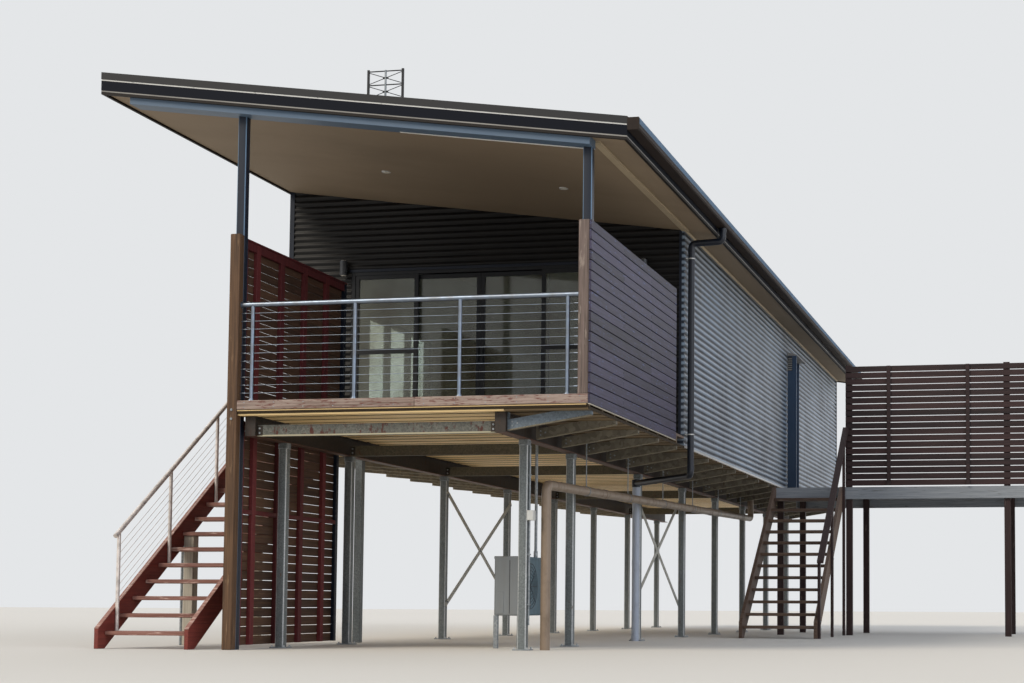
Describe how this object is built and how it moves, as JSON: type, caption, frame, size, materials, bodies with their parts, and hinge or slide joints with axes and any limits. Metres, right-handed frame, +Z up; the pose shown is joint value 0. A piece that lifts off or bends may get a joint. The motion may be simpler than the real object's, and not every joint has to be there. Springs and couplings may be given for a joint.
{
  "type": "stilt house",
  "caption": "Long single-storey house on steel stilts, with a skillion roof over a covered front deck, outside stairs, slatted screens and sliding glass doors.",
  "frame": {"origin": "centre of the bounding box, at the lowest ground under the posts", "axes": "+Y from the deck at the front to the back of the house, +X to the side with the eave gutter and the side deck, +Z up"},
  "size_m": [11.175, 18.53, 6.3798],
  "materials": {
    "roof_metal": "corrugated, weathered",
    "roof_core": "hidden panel",
    "soffit_paint": "flat",
    "fascia_paint": "satin",
    "gutter_paint": "satin",
    "downpipe_paint": "satin",
    "antenna_metal": "dull",
    "beam_paint": "satin",
    "dark_steel": "satin",
    "post_timber": "oiled, weathered",
    "front_cladding": "corrugated, satin",
    "side_cladding": "corrugated, satin",
    "floor_board": "plain",
    "lining_metal": "ribbed, dusty",
    "deck_timber": "weathered",
    "edge_timber": "weathered grey",
    "joist_timber": "rough sawn",
    "rail_steel": "satin",
    "right_screen_timber": "stained",
    "left_screen_timber": "stained",
    "lower_screen_timber": "stained",
    "bearer_steel": "dusty",
    "outrigger_steel": "flat",
    "cross_steel": "galvanised, rusted",
    "post_steel": "galvanised, dull",
    "brace_steel": "galvanised",
    "stringer_timber": "stained",
    "tread_timber": "worn",
    "prop_timber": "treated pine",
    "side_deck_timber": "weathered grey",
    "side_post_timber": "stained",
    "side_stair_timber": "stained",
    "side_tread_timber": "weathered",
    "side_rail_timber": "stained",
    "fence_timber": "stained",
    "door_metal": "satin",
    "glazing": "tinted",
    "hood_metal": "satin",
    "rain_plastic": "smooth",
    "waste_plastic": "dusty",
    "unit_metal": "flat"
  },
  "bodies": {
    "house": {"roof_sheet": "roof_metal", "roof_panel": "roof_core", "soffit": "soffit_paint", "roof_fascia": "fascia_paint", "gutter": "gutter_paint", "downpipe": "downpipe_paint", "antenna": "antenna_metal", "front_beam": "beam_paint", "roof_posts": "dark_steel", "front_left_post": "post_timber", "front_right_post": "post_timber", "front_wall_left": "front_cladding", "front_wall_right": "front_cladding", "front_wall_over": "front_cladding", "left_wall": "side_cladding", "right_wall": "side_cladding", "back_wall": "side_cladding", "floor_slab": "floor_board", "floor_lining": "lining_metal", "deck_boards": "deck_timber", "deck_joists": "joist_timber", "deck_edge": "edge_timber", "balustrade": "rail_steel", "right_screen": "right_screen_timber", "left_screen": "left_screen_timber", "lower_screen": "lower_screen_timber", "bearers": "bearer_steel", "outriggers": "outrigger_steel", "cross_beams": "cross_steel", "left_posts": "post_steel", "right_posts": "post_steel", "post_bracing": "brace_steel", "stair_stringers": "stringer_timber", "stair_treads": "tread_timber", "stair_rail": "rail_steel", "landing_posts": "prop_timber", "side_deck": "side_deck_timber", "side_posts": "side_post_timber", "side_stringers": "side_stair_timber", "side_treads": "side_tread_timber", "side_rail": "side_rail_timber", "fence_slats": "fence_timber", "door_frame": "door_metal", "door_glass": "glazing", "window_frame": "door_metal", "window_glass": "glazing", "side_door": "downpipe_paint", "side_door_hood": "hood_metal", "rain_pipe": "rain_plastic", "waste_pipe": "waste_plastic", "outdoor_unit": "unit_metal"},
    "left_leaf_body": {"left_leaf": "door_metal", "left_leaf_glass": "glazing"},
    "right_leaf_body": {"right_leaf": "door_metal", "right_leaf_glass": "glazing"}
  },
  "joints": [
    {"name": "left_leaf_slide", "type": "slide", "parent": "house", "child": "left_leaf_body", "axis": [-1, 0, 0], "range_m": [0, 0.74]},
    {"name": "right_leaf_slide", "type": "slide", "parent": "house", "child": "right_leaf_body", "axis": [1, 0, 0], "range_m": [0, 0.74]}
  ]
}
